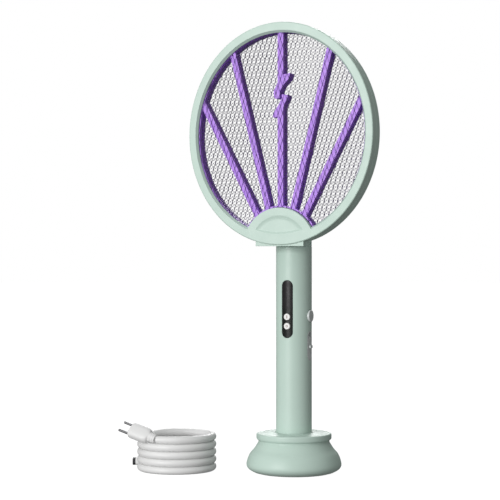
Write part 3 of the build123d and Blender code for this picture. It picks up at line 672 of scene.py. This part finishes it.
def tube_cutter(centre_z, half_w, half_h, side, edge=0.35):
    """Cutter for an opening in the tube, wider at the surface so that its rim is bevelled."""
    solid = Solid()
    steps = (
        (13.0, 0.0), (TUBE_R - edge, 0.0), (TUBE_R, edge),
        (TUBE_R + 0.3, edge + 0.3), (TUBE_R + 4, edge + 0.3),
    )
    rows = [solid.loop(pill(centre_z, half_w, half_h, grow, radius, side)) for radius, grow in steps]
    solid.skin(rows)
    solid.fill(rows[0])
    solid.fill(rows[-1])
    return build("opening", solid, weighted=False)


TUBE_PROFILE = [
    (TUBE_IN_R, TUBE_LOW), (TUBE_R - 0.3, TUBE_LOW), (TUBE_R, TUBE_LOW + 0.3),
    (TUBE_R, TUBE_HIGH - 0.4), (TUBE_R - 0.4, TUBE_HIGH), (TUBE_IN_R, TUBE_HIGH),
]
tube = build("handle_body", lathe(TUBE_PROFILE, 256))
carve(
    tube,
    tube_cutter(PANEL_Z, PANEL_HALF_W, PANEL_HALF_H, False),
    tube_cutter(POWER_Z, 6.3, 6.3, True, 0.25),
    tube_cutter(SLOT_Z, 5.4, 14.6, True, 0.25),
)
dress(tube, "handle", "mint_shell", "handle_tube")


def window_glass():
    """Curved smoked window with a soft edge, bored for the two buttons."""
    solid = Solid()
    gap = 0.05
    face_r = TUBE_R - 0.22
    rows = []
    for radius, grow in ((15.6, -4.9), (15.6, -2.5), (15.6, -gap), (face_r - 0.3, -gap)):
        rows.append(solid.loop(pill(PANEL_Z, PANEL_HALF_W, PANEL_HALF_H, grow, radius, False)))
    for index in range(1, 5):
        angle = pi / 2 * index / 4
        grow = -gap - 0.3 * (1 - cos(angle))
        radius = face_r - 0.3 * (1 - sin(angle))
        rows.append(solid.loop(pill(PANEL_Z, PANEL_HALF_W, PANEL_HALF_H, grow, radius, False)))
    for grow in (-1.2, -2.4, -3.6, -4.8, -5.5):
        rows.append(solid.loop(pill(PANEL_Z, PANEL_HALF_W, PANEL_HALF_H, grow, face_r, False)))
    solid.skin(rows)
    solid.fill(rows[0])
    solid.fill(rows[-1])
    return build("window_glass", solid)


def button_bore(z):
    """Round cutter for a button's hole in the window, bevelled at its mouth."""
    solid = Solid()
    rows = []
    for y, radius in ((-10.0, 3.5), (-17.0, 3.5), (-17.4, 3.65), (-22.0, 3.65)):
        rows.append(solid.loop([
            (radius * cos(2 * pi * k / 64), y, z + radius * sin(2 * pi * k / 64)) for k in range(64)
        ]))
    solid.skin(rows)
    solid.fill(rows[0])
    solid.fill(rows[-1])
    return build("button_bore", solid, weighted=False)


glass = window_glass()
carve(glass, *[button_bore(z) for z in PANEL_BUTTON_Z])
dress(glass, "handle", "display_black", "display_window")

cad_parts["panel_button_upper"].material_slots[0].material = button_face("button_upper", bar_mark)
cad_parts["panel_button_lower"].material_slots[0].material = button_face("button_lower", ring_mark)

# ================================================================ dock
DOCK_OUTSIDE = (
    [(18.3, 1.6), (18.3, 0.8), (37.0, 0.8)]
    + smooth_line([(39.6, 0.8), (44.9, 4.0), (46.5, 8.8), (43.6, 17.6), (38.7, 23.6), (34.8, 29.9)], 10)
    + rounded([
        (34.8, 30.2, 0), (34.8, 31.6, 0.6), (35.7, 32.0, 0.6), (36.8, 33.2, 1.0), (36.8, 37.6, 1.2),
        (35.7, 38.5, 0.9), (34.4, 37.8, 1.2), (30.0, 38.0, 2.0), (18.9, 39.3, 0.7), (18.3, 38.7, 0),
    ])
)


def inlet_cutter():
    """Rounded slot for the mains inlet at the back of the dock."""
    solid = Solid()
    half_w, half_h, corner = 8.6, 5.6, 1.6
    outline = []
    for index in range(32):
        angle = 2 * pi * (index + 0.5) / 32
        x = (half_w - corner) * (1 if cos(angle) > 0 else -1) + corner * cos(angle)
        z = (half_h - corner) * (1 if sin(angle) > 0 else -1) + corner * sin(angle)
        outline.append((x, 14.5 + z))
    rows = [solid.loop([(x, y, z) for x, z in outline]) for y in (30.0, 60.0)]
    solid.skin(rows)
    solid.fill(rows[0])
    solid.fill(rows[1])
    return build("inlet_cutter", solid, weighted=False)


dock = build("dock_body", lathe(DOCK_OUTSIDE, 224))
carve(dock, inlet_cutter())
dress(dock, "dock", "mint_shell", "dock_shell")


# ================================================================ lead
COIL_LEFT = Vector((cos(COIL_TURN), sin(COIL_TURN), 0))
COIL_AWAY = Vector((-sin(COIL_TURN), cos(COIL_TURN), 0))
COIL_CENTRE = Vector((COIL_X, COIL_Y, 0))


def in_coil(across, away, z):
    """Point given across and away from the viewer, from the coil's middle."""
    return COIL_CENTRE + COIL_LEFT * across + COIL_AWAY * away + Vector((0, 0, z))


def coil_height(angle):
    """Height of the wound cable: level turns with one soft step down at the back left of each."""
    layer = 4.0
    for step_start in (480, 840, 1200, 1560):
        share = min(1.0, max(0.0, (angle - step_start) / 60.0))
        layer -= share * share * (3 - 2 * share)
    return LEAD_R * (1 + 2 * layer)


def lead_route():
    """Route from the connector, round the coil from its floor to its top, and out to the plug."""
    points = [in_coil(across, COIL_R, TAIL_Z) for across in (TAIL_END, TAIL_END * 0.72, TAIL_END * 0.4)]
    count = round((TAIL_ANGLE - PLUG_ANGLE) / 360 * POINTS_PER_TURN)
    for index in range(count + 1):
        angle = TAIL_ANGLE - (TAIL_ANGLE - PLUG_ANGLE) * index / count
        turn = radians(angle)
        points.append(in_coil(CONTROL_R * cos(turn), CONTROL_R * sin(turn), coil_height(angle)))
    return points


def make_cord(name, points, radius):
    """Round cord along one open NURBS spline."""
    curve = bpy.data.curves.new(name, "CURVE")
    curve.dimensions = "3D"
    spline = curve.splines.new("NURBS")
    spline.points.add(len(points) - 1)
    for place, point in zip(spline.points, points):
        place.co = (*(point * MM), 1.0)
    spline.order_u = 3
    spline.use_endpoint_u = True
    curve.resolution_u = 6
    curve.bevel_depth = radius * MM
    curve.bevel_resolution = 8
    curve.use_fill_caps = True
    thing = bpy.data.objects.new(name, curve)
    bpy.context.scene.collection.objects.link(thing)
    return thing


def plug_frame():
    """Start of the plug, the way it points, and its rolled side and top directions."""
    turn = radians(PLUG_ANGLE)
    start = in_coil(COIL_R * cos(turn), COIL_R * sin(turn), coil_height(PLUG_ANGLE))
    flat = COIL_LEFT * sin(turn) - COIL_AWAY * cos(turn)
    aim = flat * cos(PLUG_TILT) + Vector((0, 0, sin(PLUG_TILT)))
    level = Vector((0, 0, 1)).cross(flat)
    over = aim.cross(level)
    wide = level * cos(PLUG_ROLL) + over * sin(PLUG_ROLL)
    return start, aim, wide, aim.cross(wide)


def loft(name, start, aim, wide, high, sections, count=48):
    """Skin through rounded sections: (distance, half width, half height, squareness)."""
    solid = Solid()
    rows = []
    for distance, half_w, half_h, power in sections:
        row = []
        for index in range(count):
            angle = 2 * pi * index / count
            x = half_w * abs(cos(angle)) ** (2 / power) * (1 if cos(angle) >= 0 else -1)
            y = half_h * abs(sin(angle)) ** (2 / power) * (1 if sin(angle) >= 0 else -1)
            row.append(tuple(start + aim * distance + wide * x + high * y))
        rows.append(solid.loop(row))
    solid.skin(rows)
    solid.fill(rows[0])
    solid.fill(rows[-1])
    return build(name, solid, 50.0)


def relief_sections(begin, end, narrow, wide_end, ribs):
    """Sections of a ribbed, tapered strain relief."""
    sections = []
    steps = ribs * 10
    for index in range(steps + 1):
        share = index / steps
        dip = 0.16 * (1 - cos(2 * pi * share * ribs))
        half = narrow + (wide_end - narrow) * share - dip
        sections.append((begin + (end - begin) * share, half, half, 2.0))
    return sections


start, aim, wide, high = plug_frame()
plug = loft("plug_shell", start, aim, wide, high, (
    relief_sections(1.8, 9.0, LEAD_R + 0.35, 5.0, 3)
    + [(9.3, 6.2, 4.9, 2.2), (9.9, 6.8, 5.1, 2.3), (12.0, 7.6, 5.4, 2.6), (14.5, 8.0, 5.5, 2.8),
       (28.8, 8.0, 5.5, 2.8), (30.2, 7.7, 5.2, 2.7), (30.8, 7.2, 4.7, 2.6), (31.0, 6.6, 4.1, 2.5)]
))
dress(plug, "lead", "lead_white", "plug_body")

connector = loft(
    "connector_shell", in_coil(0, COIL_R, TAIL_Z), -COIL_LEFT, COIL_AWAY, Vector((0, 0, 1)),
    relief_sections(25.4, 32.0, LEAD_R + 0.1, 4.0, 3)
    + [(32.3, 5.2, 3.8, 2.4), (33.0, 6.2, 3.9, 2.8), (34.2, 6.5, 3.9, 3.0),
       (42.4, 6.5, 3.9, 3.0), (43.0, 6.1, 3.6, 2.9)],
)
dress(connector, "lead", "lead_white", "connector_body")

cord = make_cord("lead_cord", lead_route(), LEAD_R)
dress(cord, "lead", "lead_white", "lead_coil", "lead_stub", "lead_tail")

# ================================================================ studio
camera = bpy.data.objects.new("camera", bpy.data.cameras.new("camera"))
camera.location = CAMERA_AT
camera.rotation_euler = (pi / 2, 0.0, CAMERA_TURN)
camera.data.lens = 112.97
camera.data.sensor_width = 36.0
camera.data.clip_start = 0.05
camera.data.clip_end = 40.0
bpy.context.scene.collection.objects.link(camera)
bpy.context.scene.camera = camera
bpy.context.scene.view_settings.view_transform = "Standard"


def soft_light(name, azimuth, elevation, distance, size, power):
    """Square area light aimed at the middle of the object; azimuth 0 is the front."""
    aim_at = Vector((-0.02, -0.01, 0.24))
    a, e = radians(azimuth), radians(elevation)
    away = Vector((sin(a) * cos(e), -cos(a) * cos(e), sin(e)))
    lamp = bpy.data.lights.new(name, "AREA")
    lamp.shape = "SQUARE"
    lamp.size = size
    lamp.energy = power
    holder = bpy.data.objects.new(name, lamp)
    holder.location = aim_at + away * distance
    holder.rotation_mode = "QUATERNION"
    holder.rotation_quaternion = away.to_track_quat("Z", "Y")
    holder.visible_camera = False
    bpy.context.scene.collection.objects.link(holder)


soft_light("key", -14.0, 8.0, 3.5, 1.35, 68.0)
soft_light("top", 10.0, 80.0, 2.2, 1.4, 4.0)
soft_light("rear", -160.0, 25.0, 3.0, 1.4, 34.0)


def studio_world():
    """Soft surround: brighter in front and above, dim behind and below."""
    world = bpy.data.worlds.new("studio")
    world.use_nodes = True
    nodes, links = world.node_tree.nodes, world.node_tree.links
    place = nodes.new("ShaderNodeTexCoord")
    towards = nodes.new("ShaderNodeVectorMath")
    towards.operation = "DOT_PRODUCT"
    towards.inputs[1].default_value = Vector((-0.10, -0.82, 0.52)).normalized()
    level = nodes.new("ShaderNodeMapRange")
    level.interpolation_type = "SMOOTHSTEP"
    level.inputs["From Min"].default_value = -0.7
    level.inputs["From Max"].default_value = 1.0
    level.inputs["To Min"].default_value = 0.10
    level.inputs["To Max"].default_value = 0.53
    links.new(place.outputs["Generated"], towards.inputs[0])
    links.new(towards.outputs["Value"], level.inputs["Value"])
    links.new(level.outputs["Result"], nodes["Background"].inputs["Strength"])
    nodes["Background"].inputs["Color"].default_value = (1.0, 1.0, 1.0, 1.0)
    bpy.context.scene.world = world


def backdrop():
    """White dome that only the camera sees, and a pale floor that takes a faint shadow."""
    mesh = bpy.data.meshes.new("backdrop")
    work = bmesh.new()
    bmesh.ops.create_icosphere(work, subdivisions=4, radius=DOME_R)
    work.to_mesh(mesh)
    work.free()
    dome = bpy.data.objects.new("backdrop", mesh)
    bpy.context.scene.collection.objects.link(dome)
    dome.visible_diffuse = False
    dome.visible_glossy = False
    dome.visible_transmission = False
    dome.visible_shadow = False
    white = bpy.data.materials.new("backdrop")
    white.use_nodes = True
    nodes, links = white.node_tree.nodes, white.node_tree.links
    glow = nodes.new("ShaderNodeEmission")
    glow.inputs["Strength"].default_value = 1.0
    links.new(glow.outputs["Emission"], nodes["Material Output"].inputs["Surface"])
    dome.data.materials.append(white)

    solid = Solid()
    half = FLOOR_HALF
    solid.faces.append(tuple(solid.loop([
        (-half, -half, 0), (half, -half, 0), (half, half, 0), (-half, half, 0),
    ])))
    floor = build("floor", solid, weighted=False)
    floor.location.z = -0.0002
    floor.visible_diffuse = False
    floor.visible_glossy = False
    pale = bpy.data.materials.new("floor")
    pale.use_nodes = True
    nodes, links = pale.node_tree.nodes, pale.node_tree.links
    nodes["Principled BSDF"].inputs["Base Color"].default_value = (0.16, 0.16, 0.16, 1.0)
    nodes["Principled BSDF"].inputs["Roughness"].default_value = 1.0
    nodes["Principled BSDF"].inputs["Specular IOR Level"].default_value = 0.0
    nodes["Principled BSDF"].inputs["Emission Color"].default_value = (1.0, 1.0, 1.0, 1.0)
    nodes["Principled BSDF"].inputs["Emission Strength"].default_value = 0.98
    floor.data.materials.append(pale)


studio_world()
backdrop()
